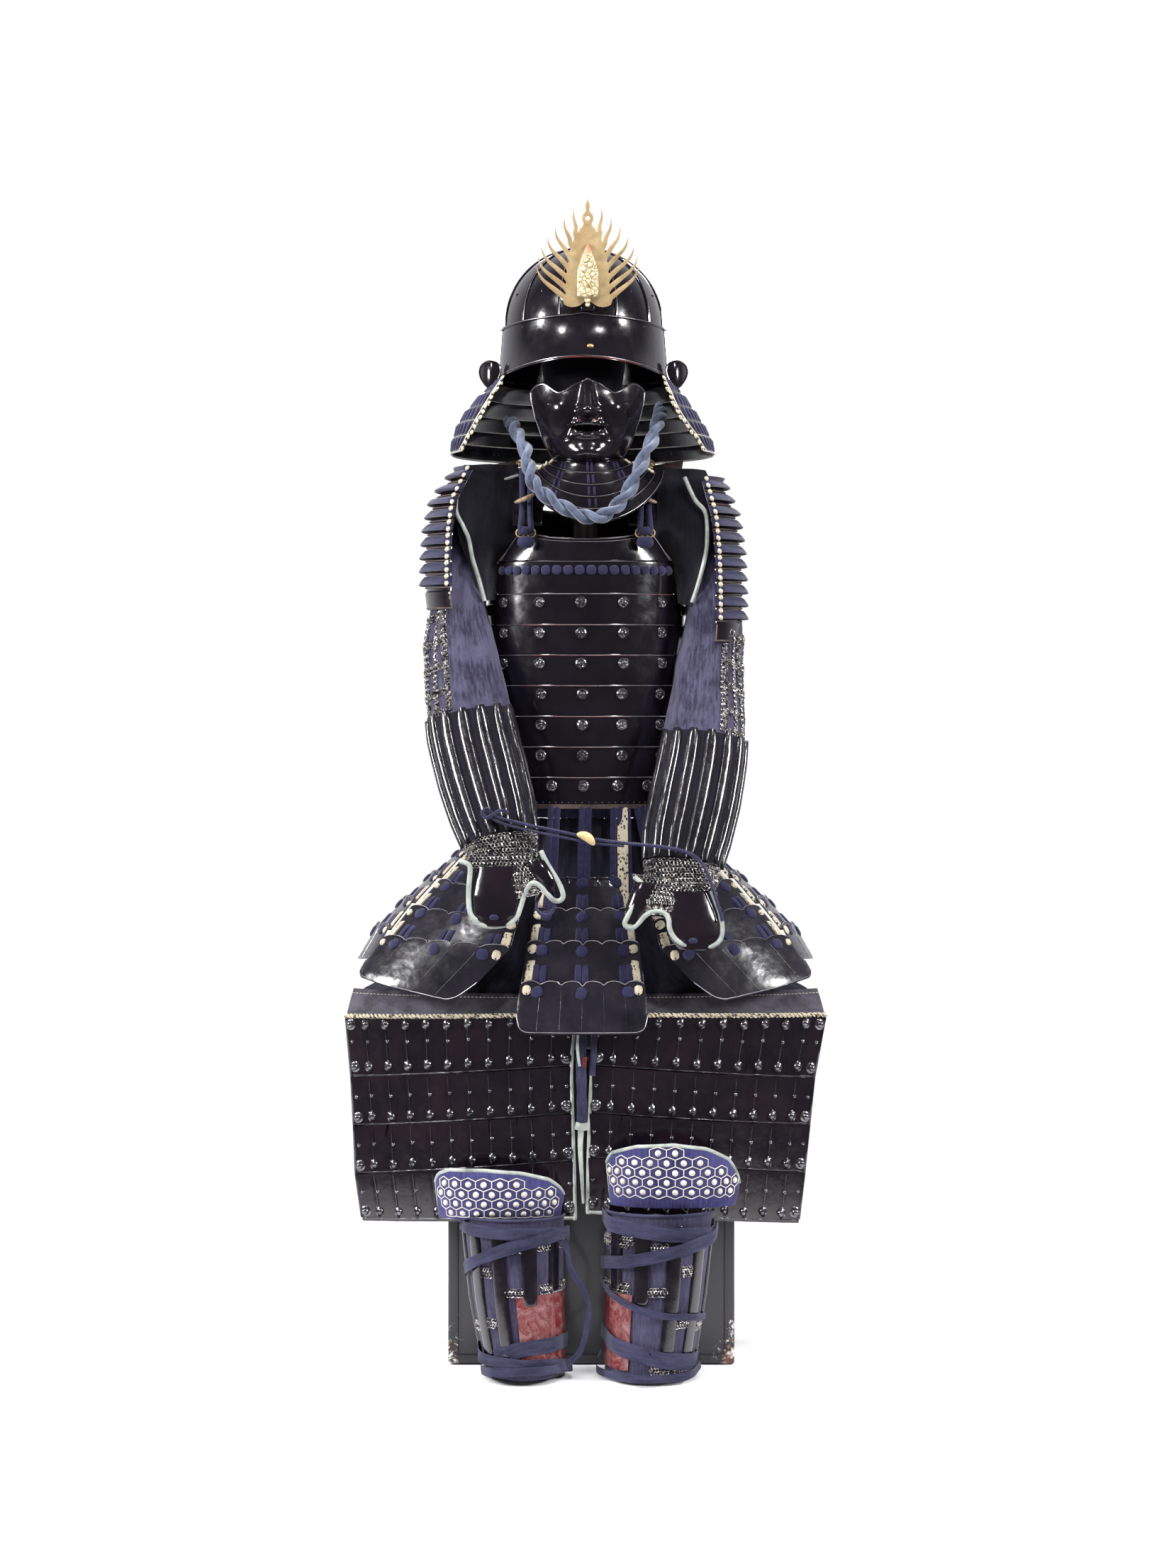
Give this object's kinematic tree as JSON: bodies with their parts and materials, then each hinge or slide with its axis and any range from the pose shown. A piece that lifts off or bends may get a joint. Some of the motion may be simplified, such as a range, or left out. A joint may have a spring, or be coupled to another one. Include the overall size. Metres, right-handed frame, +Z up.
{
  "type": "samurai armour set on its storage chest and stand",
  "caption": "Full lacquered samurai armour with flame crest, mask, cuirass, shoulder guards, sleeves, skirt, thigh and shin guards, set up seated on a chest",
  "frame": {"origin": "On the flat underside of the chest, on the armour's centre line, between the chest's front and back boards", "axes": "+Z up, the armour faces -Y, +X to the viewer's right when seen from the front"},
  "size_m": [0.6618, 0.492, 1.5941],
  "materials": {
    "chest_lacquer": "black lacquer over wood, glossy, chipped at the lower corners",
    "stand_wood": "dark stained wood, satin",
    "iron_lacquer": "black lacquer over iron, glossy, with a purple-brown tint",
    "leather_lacquer": "black-brown lacquered leather, satin, worn at the edges",
    "gilt": "satin gilt sheet",
    "carved_bone": "carved cream ornament with a coppery flame tip",
    "lacing": "braided indigo-blue silk lace",
    "indigo_cloth": "faded indigo hemp cloth, matt",
    "hexagon_cloth": "blue cloth quilted in white-edged hexagons with raised cream discs",
    "blue_rope": "faded blue-grey twisted cotton rope"
  },
  "bodies": {
    "root": {"chest_body": "chest_lacquer", "chest_lid": "chest_lacquer", "stand_post": "stand_wood", "stand_head": "stand_wood", "shin_stand_left": "stand_wood", "shin_stand_right": "stand_wood", "helmet_bowl": "iron_lacquer", "visor": "iron_lacquer", "bowl_skirt": "iron_lacquer", "turn_back_left": "iron_lacquer", "turn_back_right": "iron_lacquer", "neck_guard": "iron_lacquer", "crest_plate": "gilt", "crest_holder": "gilt", "crest_ornament": "carved_bone", "face_mask": "iron_lacquer", "throat_guard": "iron_lacquer", "cuirass_front": "leather_lacquer", "cuirass_side_left": "leather_lacquer", "cuirass_side_right": "leather_lacquer", "cuirass_back": "leather_lacquer", "breast_plate": "iron_lacquer", "back_plate": "iron_lacquer", "shoulder_strap_left": "leather_lacquer", "shoulder_strap_right": "leather_lacquer", "shoulder_guard_left": "lacing", "shoulder_guard_right": "lacing", "sleeve_left": "indigo_cloth", "sleeve_right": "indigo_cloth", "forearm_splints_left": "iron_lacquer", "forearm_splints_right": "iron_lacquer", "hand_guard_left": "iron_lacquer", "hand_guard_right": "iron_lacquer", "thumb_guard_left": "iron_lacquer", "thumb_guard_right": "iron_lacquer", "skirt_centre": "leather_lacquer", "skirt_front_left": "leather_lacquer", "skirt_front_right": "leather_lacquer", "skirt_side_left": "leather_lacquer", "skirt_side_right": "leather_lacquer", "skirt_back_left": "leather_lacquer", "skirt_back_right": "leather_lacquer", "thigh_apron": "indigo_cloth", "apron_belt": "indigo_cloth", "thigh_guard_left": "leather_lacquer", "thigh_guard_right": "leather_lacquer", "knee_guard_left": "hexagon_cloth", "knee_guard_right": "hexagon_cloth", "shin_guard_left": "iron_lacquer", "shin_guard_right": "iron_lacquer", "chin_cord": "blue_rope", "wrist_cord": "lacing"}
  },
  "joints": []
}
